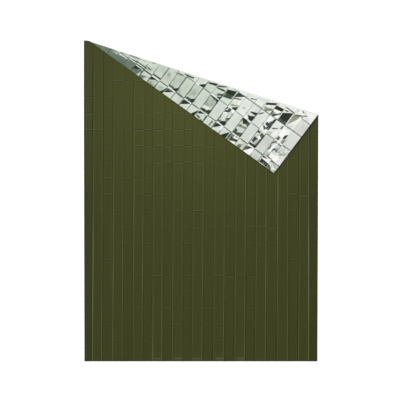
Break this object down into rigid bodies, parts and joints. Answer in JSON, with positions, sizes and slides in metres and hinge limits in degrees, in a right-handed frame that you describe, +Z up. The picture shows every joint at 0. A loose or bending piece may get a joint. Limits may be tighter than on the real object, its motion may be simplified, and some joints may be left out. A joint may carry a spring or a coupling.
{
  "type": "emergency foil blanket",
  "caption": "Open sheet of thin creased film, olive on one face and silver on the other, lying flat with one corner turned over.",
  "frame": {"origin": "on the floor under the middle of the open sheet", "axes": "+Z up, +X across the sheet, +Y along the sheet towards the end whose corner is turned over"},
  "size_m": [1.535, 2.1, 0.0222],
  "materials": {
    "olive_face": "satin olive lacquer on thin polyester film, creased",
    "silver_face": "bright vacuum-metallised film, mirror-like and crinkled"
  },
  "bodies": {
    "root": {"blanket": "olive_face"}
  },
  "joints": []
}
